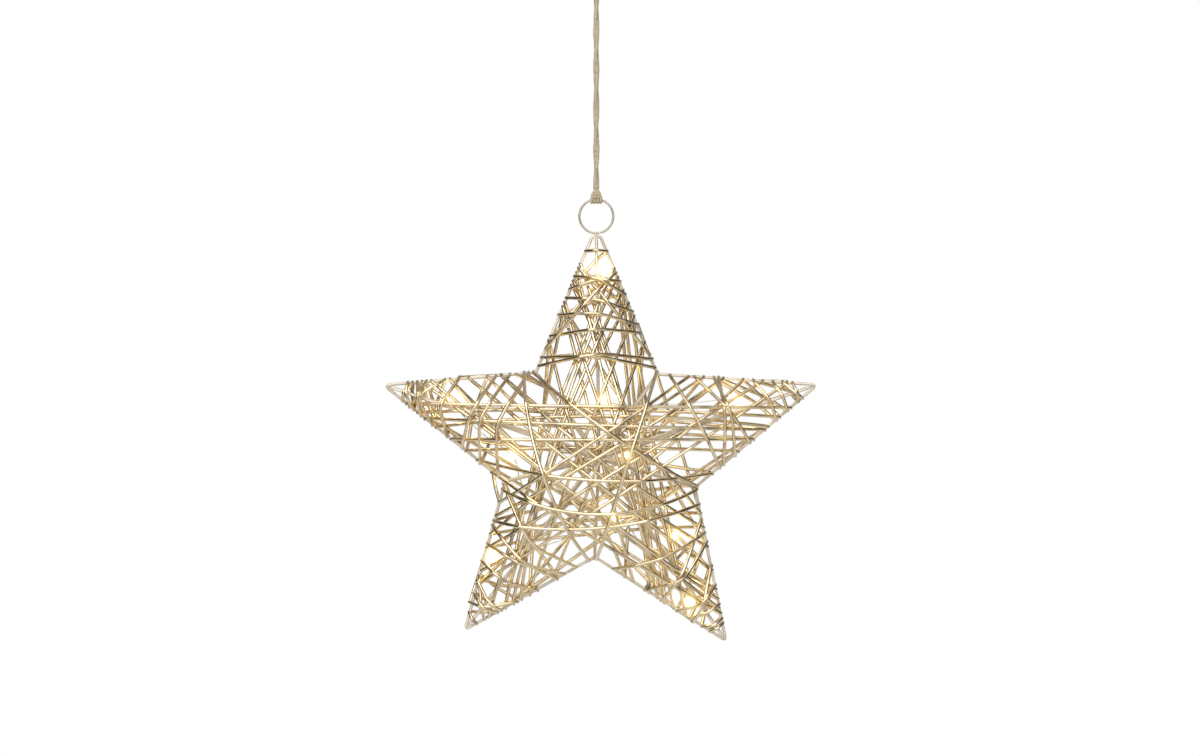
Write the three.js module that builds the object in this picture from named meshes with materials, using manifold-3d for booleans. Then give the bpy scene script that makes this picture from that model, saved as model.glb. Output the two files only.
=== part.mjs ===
// A hanging star for a window or a ceiling: a puffed five-pointed frame of welded wire, wound all
// over with champagne-gold wire, with a string of ten small warm lights held inside it. A split ring
// at the top tip hangs from a doubled jute rope, which ends in a knotted loop.
// Millimetres, +Z up, the front of the star faces -Y. The origin is where a hook bears in the loop.

import * as THREE from "three";
import Module from "manifold-3d";
import { mergeVertices } from "three/addons/utils/BufferGeometryUtils.js";

const wasm = await Module();
wasm.setup();

// Driving sizes
const STAR_REACH = 157; // centre to a tip of the outline
const CORNER_REACH = 71; // centre to an inner corner
const APEX_DEPTH = 40; // mid plane to the point where the ribs of one side meet
const FRAME_WIRE = 2.2; // diameter of the frame's wire
const WINDING_WIRE = 2.3; // diameter of the wire wound over the frame
const RING_WIRE = 2.0;
const RING_MEAN_RADIUS = 11.8;
const TWINE = 2.1; // diameter of one strand of the rope
const ROPE_DIAMETER = 4.0; // two strands, twisted together
const ROPE_LENGTH = 144; // from the hitch to the knot
const LOOP_HEIGHT = 27; // of the loop above the knot
const LOOP_WIDTH = 13;
const KNOT_RADIUS = 4.2;
const LIGHT_WIRE = 1.0; // the two fine wires of the light string, side by side
const BEAD_RADIUS = 2.2;
const GAP = 0.3; // left between pieces that touch

// The hand-made frame is a little uneven: each tip and corner is off the regular star by this much.
const TIP_OFFSET = [-2, 2.4, -1.2, -4.7, 0.1];
const TIP_TURN_DEG = [0.7, 0.3, -1.4, -1.8, -0.5];
const CORNER_OFFSET = [0.1, -0.4, -0.8, -2.8, 3.1];
const CORNER_TURN_DEG = [0.9, 0.4, -2.5, -3.4, 0.7];
// The outline's wire is bent across each tip. The top tip is the widest, since it holds the ring.
const TIP_WIDTH = [5.6, 1.8, 1, 1, 1.8];

// Each edge of the outline has this many places, from its tip to its inner corner, where a wire can
// go round it. They are further apart than the wire is thick, so no two turns meet on an edge.
const PLACES = 32;

// Turns round each arm as they show from the front, from the top arm clockwise: the place on the
// edge before the tip, the place on the edge after it, and how far the turn slides out on the rib.
const ARM_TURNS = [
  [[3, 3, 0.5], [12, 10, 3], [9, 13, 3], [18, 20, 3.5], [28, 30, 4], [30, 28, 5]],
  [[4, 4, 0.5], [6, 3, 0.5], [12, 10, 2], [20, 21, 4], [29, 25, 1.5]],
  [[3, 3, 0.5], [5, 5, 2], [11, 11, 4.5], [20, 19, 8], [22, 27, 3]],
  [[2, 3, 0.5], [7, 7, 1.5], [9, 10, 2], [17, 14, 3], [22, 22, 4.5], [27, 31, 10]],
  [[5, 5, 2], [7, 4, 2.5], [9, 9, 3.5], [16, 15, 7.5], [25, 26, 8.5], [30, 30, 10]],
];

// Long strands over the body as they show from the front: edge and place where each starts, edge and
// place where it ends, and how far its middle is pushed away from the centre. Edges are counted like
// the arms, two to an arm. A wire of each length covers one group, under the arms' turns.
const LONG_STRANDS = [
  [
    [0, 8, 5, 16, 0],
    [1, 12, 6, 9, 0],
    [0, 15, 5, 14, 0],
    [1, 18, 6, 15, 0],
    [0, 24, 5, 24, 4],
    [1, 24, 6, 21, 0],
  ],
  [
    [9, 9, 4, 8, 0],
    [2, 5, 7, 9, 0],
    [9, 17, 4, 14, 0],
    [2, 10, 7, 17, 0],
    [9, 24, 4, 23, -4],
    [2, 18, 7, 24, 0],
  ],
  [
    [3, 6, 8, 5, 0],
    [3, 13, 8, 10, 0],
    [3, 16, 8, 17, 0],
    [3, 27, 8, 24, 7],
    [8, 28, 4, 5, 0],
    [2, 25, 7, 27, 0],
  ],
];
// The last length is wound over all the others.
const OUTER_STRANDS = [
  [9, 31, 3, 31, -4],
  [1, 31, 5, 31, 0],
  [9, 29, 6, 30, 9],
  [7, 31, 4, 31, 15],
  [7, 23, 4, 28, 9],
];

// The lights, across and up from the star's centre as shares of its reach, in the order in which the
// string gets to them.
const LIGHTS = [
  [0.006, 0.84],
  [0.018, 0.26],
  [0.61, 0.24],
  [0.13, 0.006],
  [0.34, -0.35],
  [0.41, -0.64],
  [0.07, -0.27],
  [-0.48, -0.44],
  [-0.39, 0.006],
  [-0.675, 0.255],
];
// After the eighth light the string swings in, clear of the inner corner.
const STRING_BEND_AFTER = 8;
const STRING_BEND = [-0.33, -0.2];

// Surfaces of the real pieces
const surface = (color, roughness, metalness, emissive = 0) =>
  new THREE.MeshStandardMaterial({ color, roughness, metalness, emissive });
const paint = () => surface(0xd8c8b4, 0.6, 0.1);
const gold = () => surface(0xc9b184, 0.3, 0.9);
const jute = () => surface(0xb59c77, 0.95, 0);
const silver = () => surface(0xb9b9b4, 0.3, 1);
const resin = () => surface(0xfff2cc, 0.1, 0, 0xffd27a);

const FRAME_RADIUS = FRAME_WIRE / 2;
const WIRE_RADIUS = WINDING_WIRE / 2;
const TWINE_RADIUS = TWINE / 2;
const FRAME_SIDES = 6;
const WIRE_SIDES = 4;
const CORD_SIDES = 8;
// A four-sided wire is made a little wider, so that it holds nearer the metal of a round one.
const SQUARE_WIRE = 1.06;

// A path through given points. Its corners stay where they are, and at each corner the section
// stands in the plane that halves the bend.
class Polyline extends THREE.Curve {
  constructor(points) {
    super();
    this.points = points;
    this.legs = points.slice(1).map((p, i) => p.clone().sub(points[i]).normalize());
  }
  getPoint(t, target = new THREE.Vector3()) {
    const at = t * this.legs.length;
    const i = Math.min(Math.floor(at + 1e-6), this.legs.length - 1);
    return target.copy(this.points[i]).lerp(this.points[i + 1], at - i);
  }
  getPointAt(u, target) {
    return this.getPoint(u, target);
  }
  getTangentAt(u, target = new THREE.Vector3()) {
    const corner = Math.round(u * this.legs.length);
    const into = this.legs[Math.max(corner - 1, 0)];
    const out = this.legs[Math.min(corner, this.legs.length - 1)];
    return target.copy(into).add(out).normalize();
  }
}

function section(radius, sides) {
  const shape = new THREE.Shape();
  for (let i = 0; i < sides; i++) {
    const angle = (2 * Math.PI * (i + 0.5)) / sides;
    const [x, y] = [radius * Math.cos(angle), radius * Math.sin(angle)];
    if (i === 0) shape.moveTo(x, y);
    else shape.lineTo(x, y);
  }
  return shape;
}

function tube(curve, radius, sides, steps) {
  const settings = { steps, extrudePath: curve, bevelEnabled: false };
  return new THREE.ExtrudeGeometry(section(radius, sides), settings);
}

const wireTube = (points, radius, sides) => tube(new Polyline(points), radius, sides, points.length - 1);

// Joins bodies that are welded together.
function weld(geometries) {
  const solids = geometries.map((geometry) => {
    const bare = geometry.clone();
    bare.deleteAttribute("normal");
    bare.deleteAttribute("uv");
    const merged = mergeVertices(bare, 1e-3);
    const triVerts = new Uint32Array(merged.index.array);
    return new wasm.Manifold(
      new wasm.Mesh({ numProp: 3, vertProperties: merged.attributes.position.array, triVerts }),
    );
  });
  const { numProp, vertProperties, triVerts } = solids.reduce((all, one) => all.add(one)).getMesh();
  const welded = new THREE.BufferGeometry();
  welded.setAttribute("position", new THREE.BufferAttribute(vertProperties, numProp));
  welded.setIndex(new THREE.BufferAttribute(triVerts, 1));
  return welded;
}

const star = new THREE.Group();
const part = new THREE.Group();

function add(group, name, geometry, material) {
  const mesh = new THREE.Mesh(geometry, material);
  mesh.name = name;
  group.add(mesh);
  return mesh;
}

// The star's plane: u across, v up, and depth towards the front or, below zero, the back.
const inSpace = (flat, depth) => new THREE.Vector3(flat.x, -depth, flat.y);
const radians = (degrees) => (degrees * Math.PI) / 180;
const polar = (reach, degrees) =>
  new THREE.Vector2(Math.cos(radians(degrees)), Math.sin(radians(degrees))).multiplyScalar(reach);
const ARM_STEP_DEG = 72;
const tips = TIP_OFFSET.map((offset, k) =>
  polar(STAR_REACH + offset, 90 - ARM_STEP_DEG * k + TIP_TURN_DEG[k]),
);
const corners = CORNER_OFFSET.map((offset, k) =>
  polar(CORNER_REACH + offset, 90 - ARM_STEP_DEG * (k + 0.5) + CORNER_TURN_DEG[k]),
);

// Edge 2k runs from tip k to the corner before it, and edge 2k + 1 to the corner after it.
const edges = tips.flatMap((tip, k) => {
  const across = new THREE.Vector2(tip.y, -tip.x).setLength(TIP_WIDTH[k] / 2);
  return [
    { tip: tip.clone().sub(across), corner: corners.at(k - 1) },
    { tip: tip.clone().add(across), corner: corners[k] },
  ];
});
for (const edge of edges) {
  const along = edge.corner.clone().sub(edge.tip).normalize();
  edge.outward = new THREE.Vector2(-along.y, along.x);
  if (edge.outward.dot(edge.tip.clone().add(edge.corner)) < 0) edge.outward.negate();
}

// Frame outline
const rod = (from, to) => wireTube([from, to], FRAME_RADIUS, FRAME_SIDES);
const sideRods = edges.map(({ tip, corner }) => rod(inSpace(tip, 0), inSpace(corner, 0)));
const tipRods = tips.map((tip, k) =>
  rod(inSpace(edges[2 * k].tip, 0), inSpace(edges[2 * k + 1].tip, 0)),
);
add(star, "frame_outline", weld([...sideRods, ...tipRods]), paint());

// Ribs: they lie on the outline at their outer ends, and meet in a weld in front of or behind the
// centre. The top ribs run on past the tip, because the ring is held between them.
const RIB_FOOT_DEPTH = FRAME_WIRE + GAP;
const WELD_RADIUS = 2.4;
const ringSeat = FRAME_RADIUS + GAP + RING_WIRE / 2; // from the top tip up to the ring's wire
const topRibFoot = tips[0].clone().setLength(tips[0].length() + ringSeat + FRAME_RADIUS);
const ribFeet = [topRibFoot, ...tips.slice(1), ...corners];
const centre = new THREE.Vector2(0, 0);

for (const [name, side] of [["frame_front_ribs", 1], ["frame_back_ribs", -1]]) {
  const apex = inSpace(centre, side * APEX_DEPTH);
  const ribs = ribFeet.map((foot) => rod(inSpace(foot, side * RIB_FOOT_DEPTH), apex));
  const bead = new THREE.IcosahedronGeometry(WELD_RADIUS, 1).translate(apex.x, apex.y, apex.z);
  add(star, name, weld([bead, ...ribs]), paint());
}

// Windings. A strand is drawn tight from one edge of the outline to another over whatever lies
// there already: ribs, and strands laid before it. Obstacles hold flat points, depths and radii.
const obstacles = [];
function addObstacle(a, depthA, b, depthB, radius) {
  obstacles.push({ a, depthA, b, depthB, radius });
}
for (const foot of ribFeet) addObstacle(foot, RIB_FOOT_DEPTH, centre, APEX_DEPTH, FRAME_RADIUS);
for (const { tip, corner } of edges) addObstacle(tip, 0, corner, 0, FRAME_RADIUS);
addObstacle(centre, APEX_DEPTH, centre, APEX_DEPTH, WELD_RADIUS);
const sideObstacles = [obstacles.slice(), obstacles.slice()];

const SAMPLE_STEP = 0.8; // how closely a strand looks for what it lies on
const SLACK = 0.25; // corners smaller than this are left out of a strand
const REACH_STEP = 0.25;
const CORNER_ROOM = 1.2; // a turn's corner stands this much further out than a round bend would

// The depth that keeps a strand at a flat point clear of the obstacles, or none. An obstacle that
// climbs is cut at a slant there, so it stands further out by its slope.
function depthNeeded(point, list) {
  let need = -Infinity;
  for (const { a, depthA, b, depthB, radius } of list) {
    const clear = radius + WIRE_RADIUS + GAP;
    const [dx, dy] = [b.x - a.x, b.y - a.y];
    const flatLength = Math.max(Math.hypot(dx, dy), 1e-6);
    const share = ((point.x - a.x) * dx + (point.y - a.y) * dy) / flatLength ** 2;
    const t = Math.min(Math.max(share, 0), 1);
    const away = Math.hypot(point.x - a.x - t * dx, point.y - a.y - t * dy);
    if (away >= clear) continue;
    const slant = Math.hypot(1, (depthB - depthA) / flatLength);
    const rise = slant * Math.sqrt(clear ** 2 - away ** 2);
    need = Math.max(need, depthA + t * (depthB - depthA) + rise);
  }
  return need;
}

// The value at a place on a line of [place, value] points.
function valueAlong(line, at) {
  const i = Math.max(line.findIndex((p) => p[0] >= at), 1);
  const [a, b] = [line[i - 1], line[i]];
  return a[1] + ((b[1] - a[1]) * (at - a[0])) / (b[0] - a[0]);
}

// The tight line over a row of [place, depth] points: their upper hull.
function tightOver(points) {
  const hull = [];
  for (const p of points) {
    while (hull.length > 1) {
      const [a, b] = hull.slice(-2);
      if ((b[0] - a[0]) * (p[1] - a[1]) - (b[1] - a[1]) * (p[0] - a[0]) < 0) break;
      hull.pop();
    }
    hull.push(p);
  }
  return hull;
}

// Leaves out the points of a line that lie within the slack of a straight run between the others.
function eased(line) {
  const kept = [line[0]];
  for (let i = 1, from = 0; i < line.length - 1; i++) {
    const [a, b] = [line[from], line[i + 1]];
    const off = line
      .slice(from + 1, i + 1)
      .map(([s, depth]) => Math.abs(depth - a[1] - ((b[1] - a[1]) * (s - a[0])) / (b[0] - a[0])));
    if (Math.max(...off) > SLACK) {
      kept.push(line[i]);
      from = i;
    }
  }
  return [...kept, line.at(-1)];
}

// One strand, from its turn at one edge to its turn at another: flat points with the depth of each.
// Its bends hold how far along the straight way they are, as a share, and how far out they lie.
function layStrand(start, end, bends, list) {
  const from = start.at;
  const to = end.at;
  const span = from.distanceTo(to);
  const [first, last] = [start.reach, start.reach + span];
  const length = last + end.reach;
  const out = new THREE.Vector2(to.y - from.y, from.x - to.x).normalize();
  if (out.dot(from) < 0) out.negate();
  const way = [[0, 0], ...bends, [1, 0]];
  const flatAt = (s) => {
    if (s < first) return start.outer.clone().lerp(from, s / first);
    if (s > last) return to.clone().lerp(end.outer, (s - last) / end.reach);
    const t = (s - first) / span;
    return from.clone().lerp(to, t).addScaledVector(out, valueAlong(way, t));
  };
  const needs = [[0, 0]];
  const count = Math.ceil(length / SAMPLE_STEP);
  for (let i = 1; i < count; i++) {
    const s = (length * i) / count;
    const depth = depthNeeded(flatAt(s), list);
    if (depth > 0) needs.push([s, depth]);
  }
  const tight = tightOver([...needs, [length, 0]]);
  const fixed = [0, ...way.map(([t]) => first + span * t), length];
  const free = eased(tight).filter(([s]) => fixed.every((f) => Math.abs(s - f) > WIRE_RADIUS));
  const line = [...fixed.map((s) => [s, valueAlong(tight, s)]), ...free];
  line.sort((a, b) => a[0] - b[0]);
  const points = line.map(([s, depth]) => ({ flat: flatAt(s), depth }));
  for (let i = 1; i < points.length; i++) {
    const [a, b] = [points[i - 1], points[i]];
    list.push({ a: a.flat, depthA: a.depth, b: b.flat, depthB: b.depth, radius: WIRE_RADIUS });
  }
  return points;
}

// Each place on an edge takes one turn. A turn that wants a taken place gets the nearest free one.
const taken = edges.map(() => new Set());
function takePlace(edge, wanted) {
  for (let away = 0; away < PLACES; away++)
    for (const place of [wanted - away, wanted + away])
      if (place >= 0 && place < PLACES && !taken[edge].has(place)) {
        taken[edge].add(place);
        const { tip, corner } = edges[edge];
        return { edge, at: tip.clone().lerp(corner, (place + 0.5) / PLACES) };
      }
  throw new Error("edge " + edge + " has no free place");
}

// A turn goes round the edge's wire, and round any strand that runs along it there.
function turnAt({ edge, at }) {
  const { outward } = edges[edge];
  let reach = (FRAME_RADIUS + GAP + WIRE_RADIUS) * CORNER_ROOM;
  const outerAt = () => at.clone().addScaledVector(outward, reach);
  while (sideObstacles.some((list) => depthNeeded(outerAt(), list) > 0)) reach += REACH_STEP;
  return { edge, at, reach, outer: outerAt() };
}

// True where the straight way between two points of the outline stays on the star.
function staysInside(p, q) {
  return corners.every((corner) => {
    const along = q.clone().sub(p);
    const t = Math.min(Math.max(corner.clone().sub(p).dot(along) / along.lengthSq(), 0), 1);
    const nearest = p.clone().lerp(q, t);
    return nearest.length() < corner.length() || nearest.angleTo(corner) > 0.3;
  });
}

// A turn round an arm bends once, where it crosses the arm's rib. A long strand bends evenly.
function bendsOf(from, to, pushed) {
  if (pushed === 0) return [];
  const armOf = ({ edge }) => Math.floor(edge / 2);
  if (armOf(from) !== armOf(to)) return [1, 2, 3].map((i) => [i / 4, (pushed * i * (4 - i)) / 4]);
  const rib = tips[armOf(from)];
  const [before, after] = [rib.cross(from.at), rib.cross(to.at)];
  return [[before / (before - after), pushed]];
}

// One length of wire, wound along its front strands. Behind, it goes from each strand's end to the
// start of the next, and the strands are taken in an order that keeps it on the star.
function winding(frontStrands) {
  const rows = frontStrands.map(([edgeA, placeA, edgeB, placeB, pushed]) => ({
    from: takePlace(edgeA, placeA),
    to: takePlace(edgeB, placeB),
    pushed,
  }));
  const ordered = [rows.shift()];
  while (rows.length) {
    const end = ordered.at(-1).to;
    let next = rows.findIndex((row) => staysInside(end.at, row.from.at));
    if (next < 0) {
      next = rows.findIndex((row) => staysInside(end.at, row.to.at));
      if (next < 0) next = 0;
      const row = rows[next];
      rows[next] = { from: row.to, to: row.from, pushed: row.pushed };
    }
    ordered.push(...rows.splice(next, 1));
  }
  const [front, back] = sideObstacles;
  let turn = turnAt(ordered[0].from);
  const path = [inSpace(turn.outer, 0)];
  const run = (end, pushed, list, side) => {
    const points = layStrand(turn, end, bendsOf(turn, end, pushed), list).slice(1);
    for (const { flat, depth } of points) path.push(inSpace(flat, side * depth));
    turn = end;
  };
  ordered.forEach((strand, i) => {
    run(turnAt(strand.to), strand.pushed, front, 1);
    if (i + 1 < ordered.length) run(turnAt(ordered[i + 1].from), 0, back, -1);
  });
  return wireTube(path, WIRE_RADIUS * SQUARE_WIRE, WIRE_SIDES);
}

LONG_STRANDS.forEach((rows, i) => add(star, "body_winding_" + (i + 1), winding(rows), gold()));
const armNames = ["top", "right", "lower_right", "lower_left", "left"];
ARM_TURNS.forEach((turns, k) => {
  const rows = turns.map(([before, after, out]) => [2 * k, before, 2 * k + 1, after, out]);
  add(star, armNames[k] + "_arm_winding", winding(rows), gold());
});
add(star, "outer_body_winding", winding(OUTER_STRANDS), gold());

// Light string: a fine twin wire through the star's hollow, just behind ten resin beads.
const stringDepth = -(BEAD_RADIUS + GAP + LIGHT_WIRE / 2);
const scaled = ([u, v]) => new THREE.Vector2(u, v).multiplyScalar(STAR_REACH);
const lights = LIGHTS.map(scaled);
const stringWay = lights.toSpliced(STRING_BEND_AFTER, 0, scaled(STRING_BEND));
const stringPoints = stringWay.map((point) => inSpace(point, stringDepth));
const stringCurve = new THREE.CatmullRomCurve3(stringPoints, false, "centripetal");
const STRING_STEPS = 42;
add(star, "light_string_wire", tube(stringCurve, LIGHT_WIRE / 2, WIRE_SIDES, STRING_STEPS), silver());
lights.forEach((light, i) => {
  const bead = new THREE.SphereGeometry(BEAD_RADIUS, 8, 4);
  const mesh = add(star, "light_bead_" + (i + 1), bead, resin());
  mesh.position.copy(inSpace(light, 0));
});

// Split ring, standing on the top tip between the two top ribs. Its ends meet at the bottom right.
const RING_STEPS = 30;
const RING_SPLIT_DEG = -78;
const ringCentre = new THREE.Vector3(tips[0].x, 0, tips[0].y + ringSeat + RING_MEAN_RADIUS);
const ringSplit = GAP / RING_MEAN_RADIUS;
class RingArc extends THREE.Curve {
  getPoint(t, target = new THREE.Vector3()) {
    const angle = radians(RING_SPLIT_DEG) + ringSplit / 2 + t * (2 * Math.PI - ringSplit);
    return target.set(Math.cos(angle), 0, Math.sin(angle)).multiplyScalar(RING_MEAN_RADIUS);
  }
}
const ringTube = tube(new RingArc(), RING_WIRE / 2, FRAME_SIDES, RING_STEPS);
add(star, "hanging_ring", ringTube, paint()).position.copy(ringCentre);

// Rope. Heights here are above the ring's top wire.
const rope = new THREE.Group();
const HITCH_HEIGHT = 7.5; // where the two strands of the hitch come together into the rope
const ropeBottom = HITCH_HEIGHT + GAP;
const ropeTop = ropeBottom + ROPE_LENGTH;
const ropeLine = new THREE.LineCurve3(
  new THREE.Vector3(0, 0, ropeBottom),
  new THREE.Vector3(0, 0, ropeTop),
);
add(rope, "rope", tube(ropeLine, ROPE_DIAMETER / 2, CORD_SIDES, 1), jute());

// The hitch: each strand comes down in front of the ring, goes under it and up behind, and the
// two are one bight, which crosses behind the rope.
const round = RING_WIRE / 2 + GAP + TWINE_RADIUS;
const hitchSpread = TWINE_RADIUS * 3.3;
const ringDrop = RING_MEAN_RADIUS - Math.sqrt(RING_MEAN_RADIUS ** 2 - hitchSpread ** 2);
const hitchHalf = [
  [TWINE_RADIUS, 0, HITCH_HEIGHT],
  [TWINE_RADIUS, -round * 0.1, HITCH_HEIGHT * 0.9],
  [TWINE_RADIUS * 1.5, -round * 0.7, HITCH_HEIGHT * 0.6],
  [TWINE_RADIUS * 2.8, -round * 1.05, HITCH_HEIGHT * 0.2],
  [hitchSpread, -round * 0.8, -round * 0.75 - ringDrop],
  [hitchSpread, round * 0.8, -round * 0.75 - ringDrop],
  [TWINE_RADIUS * 2.8, round * 1.05, HITCH_HEIGHT * 0.2],
  [TWINE_RADIUS * 1.6, round * 1.1, HITCH_HEIGHT * 0.55],
];
const hitchPoints = [
  ...hitchHalf.map(([x, y, z]) => new THREE.Vector3(-x, y, z)),
  ...hitchHalf.reverse().map(([x, y, z]) => new THREE.Vector3(x, y, z)),
];
const HITCH_STEPS = 30;
const hitchCurve = new THREE.CatmullRomCurve3(hitchPoints, false, "centripetal");
add(rope, "rope_hitch", tube(hitchCurve, TWINE_RADIUS, FRAME_SIDES, HITCH_STEPS), jute());

// Knot and hanging loop
const knotCentre = ropeTop + GAP + KNOT_RADIUS;
const knot = add(rope, "rope_knot", new THREE.IcosahedronGeometry(KNOT_RADIUS, 1), jute());
knot.position.z = knotCentre;
const loopFoot = knotCentre + KNOT_RADIUS + GAP + TWINE_RADIUS * 0.2;
const loopTop = loopFoot + LOOP_HEIGHT;
const loopCurve = new THREE.CatmullRomCurve3(
  [
    [-0.1, 0],
    [-0.3, 0.25],
    [-0.48, 0.55],
    [-0.42, 0.82],
    [0, 1],
    [0.42, 0.82],
    [0.48, 0.55],
    [0.3, 0.25],
    [0.1, 0],
  ].map(([x, z]) => new THREE.Vector3(x * LOOP_WIDTH, 0, loopFoot + z * LOOP_HEIGHT)),
  false,
  "centripetal",
);
const LOOP_STEPS = 24;
add(rope, "rope_loop", tube(loopCurve, TWINE_RADIUS, FRAME_SIDES, LOOP_STEPS), jute());

// The hook bears under the top of the loop.
rope.position.z = -(loopTop - TWINE_RADIUS);
star.position.set(-ringCentre.x, 0, rope.position.z - ringCentre.z - RING_MEAN_RADIUS);
part.add(star, rope);

export default part;
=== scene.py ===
"""Looks of a hanging star of wound champagne-gold wire with small warm lights inside.

Metres, +Z up, the star's front faces -Y. The origin is where a hook bears in the rope's loop. The
model's own routes are repeated here with round wires, and over half as many turns again.
"""

import math

import bpy
import numpy as np
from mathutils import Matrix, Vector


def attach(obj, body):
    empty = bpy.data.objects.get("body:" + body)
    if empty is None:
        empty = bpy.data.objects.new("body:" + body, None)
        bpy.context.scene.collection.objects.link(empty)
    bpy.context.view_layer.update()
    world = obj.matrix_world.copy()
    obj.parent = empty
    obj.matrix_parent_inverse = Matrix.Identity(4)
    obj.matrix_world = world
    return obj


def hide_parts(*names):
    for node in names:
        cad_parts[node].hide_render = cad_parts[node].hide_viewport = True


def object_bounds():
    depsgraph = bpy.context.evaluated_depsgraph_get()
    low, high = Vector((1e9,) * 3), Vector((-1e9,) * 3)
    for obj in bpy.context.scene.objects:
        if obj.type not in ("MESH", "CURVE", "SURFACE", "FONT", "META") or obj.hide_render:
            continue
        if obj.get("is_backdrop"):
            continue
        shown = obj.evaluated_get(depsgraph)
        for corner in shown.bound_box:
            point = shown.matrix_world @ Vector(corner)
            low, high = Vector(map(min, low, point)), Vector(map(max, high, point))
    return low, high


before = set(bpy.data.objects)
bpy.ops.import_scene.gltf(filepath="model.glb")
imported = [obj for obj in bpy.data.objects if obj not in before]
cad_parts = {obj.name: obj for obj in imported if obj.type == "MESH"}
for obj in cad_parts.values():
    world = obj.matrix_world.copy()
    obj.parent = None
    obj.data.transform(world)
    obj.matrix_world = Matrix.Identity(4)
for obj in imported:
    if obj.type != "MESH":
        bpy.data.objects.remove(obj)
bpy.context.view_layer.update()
scene = bpy.context.scene
chance = np.random.default_rng(5)

# Camera: level and square to the star, about a metre and a half away. The star hangs a little below
# the middle of the view, and the rope leaves by the top.
STAR_ACROSS = 0.00189
STAR_HEIGHT = -0.36795
CAMERA_DISTANCE = 1.6
VIEW_WIDTH = 0.843  # of the photograph at the star
camera = bpy.data.objects.new("camera", bpy.data.cameras.new("camera"))
scene.collection.objects.link(camera)
scene.camera = camera
camera.data.sensor_width = 36
camera.data.lens = 36 * CAMERA_DISTANCE / VIEW_WIDTH
camera.location = (STAR_ACROSS + 0.0007, -CAMERA_DISTANCE, STAR_HEIGHT + 0.0555)
camera.rotation_euler = (math.pi / 2, 0, 0)

# Rope: a doubled jute twine under the star's weight, with one turn of twist in 56 mm. It runs
# straight up from the hitch on the ring to a knot just above the view.
RING_TOP = -0.18696
ROPE_BOTTOM = RING_TOP + 0.0078
ROPE_LENGTH = 0.144
ROPE_TURN = 0.056
YARN_RADIUS = 0.0014
YARN_OFFSET = 0.00076


def evenly(line, spacing):
    """The same line in equal steps of about the given spacing."""
    steps = np.linalg.norm(np.diff(line, axis=0), axis=1)
    run = np.concatenate([[0], np.cumsum(steps)])
    at = np.linspace(0, run[-1], max(round(run[-1] / spacing), 2) + 1)
    return np.stack([np.interp(at, run, line[:, i]) for i in range(3)], axis=1)


def through(points, spacing):
    """A smooth line through points, in even steps. From p1 to p2 it is the cubic
    p1 + t (p2 - p0) / 2 + t^2 (2 p0 - 5 p1 + 4 p2 - p3) / 2 + t^3 (3 p1 - p0 - 3 p2 + p3) / 2."""
    p = np.asarray(points, float)
    p = np.vstack([2 * p[0] - p[1], p, 2 * p[-1] - p[-2]])
    p0, p1, p2, p3 = p[:-3], p[1:-2], p[2:-1], p[3:]
    t = np.linspace(0, 1, 24, endpoint=False)[:, None, None]
    curve = p1 + t * (p2 - p0) / 2 + t**2 * (2 * p0 - 5 * p1 + 4 * p2 - p3) / 2
    curve = curve + t**3 * (3 * p1 - p0 - 3 * p2 + p3) / 2
    line = np.vstack([curve.transpose(1, 0, 2).reshape(-1, 3), p[-2]])
    return evenly(line, spacing)


def round_ends(path, radius):
    """Radii that close a tube with half a ball at each end: within one radius of an end they are
    the square root of radius^2 - (radius - distance)^2."""
    steps = np.linalg.norm(np.diff(path, axis=0), axis=1)
    run = np.concatenate([[0], np.cumsum(steps)])
    near = np.minimum(np.minimum(run, run[-1] - run), radius)
    return np.sqrt(np.maximum(radius**2 - (radius - near) ** 2, (0.15 * radius) ** 2))


def tube(path, radius, sides, closed=False):
    """The rings of a wire along a path: path + radius (cos a . right + sin a . over). Right and
    over turn as little as they can on the way: by the running sum of the angles that are left
    between each ring's own directions and those carried over from the ring before."""
    path = np.asarray(path, float)
    if closed:
        path = np.vstack([path, path[:1]])
        forward = np.roll(path[:-1], -1, axis=0) - np.roll(path[:-1], 1, axis=0)
        forward = np.vstack([forward, forward[:1]])
    else:
        forward = np.gradient(path, axis=0)
    forward /= np.linalg.norm(forward, axis=1, keepdims=True)
    right = np.cross(forward, np.eye(3)[np.abs(forward).argmin(axis=1)])
    right /= np.linalg.norm(right, axis=1, keepdims=True)
    over = np.cross(forward, right)
    lean = (right[:-1] * forward[1:]).sum(1) / (1 + (forward[:-1] * forward[1:]).sum(1))
    carried = right[:-1] - lean[:, None] * (forward[:-1] + forward[1:])
    left = np.arctan2((carried * over[1:]).sum(1), (carried * right[1:]).sum(1))
    turn = np.concatenate([[0], np.cumsum(left)])
    if closed:
        rest = (turn[-1] + math.pi) % (2 * math.pi) - math.pi
        turn = turn - rest * np.linspace(0, 1, len(turn))
    angle = turn[:, None] + np.linspace(0, 2 * math.pi, sides, endpoint=False)
    around = np.cos(angle)[..., None] * right[:, None] + np.sin(angle)[..., None] * over[:, None]
    rings = path[:, None] + np.broadcast_to(radius, len(path))[:, None, None] * around
    return (rings[:-1], True) if closed else (rings, False)


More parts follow.
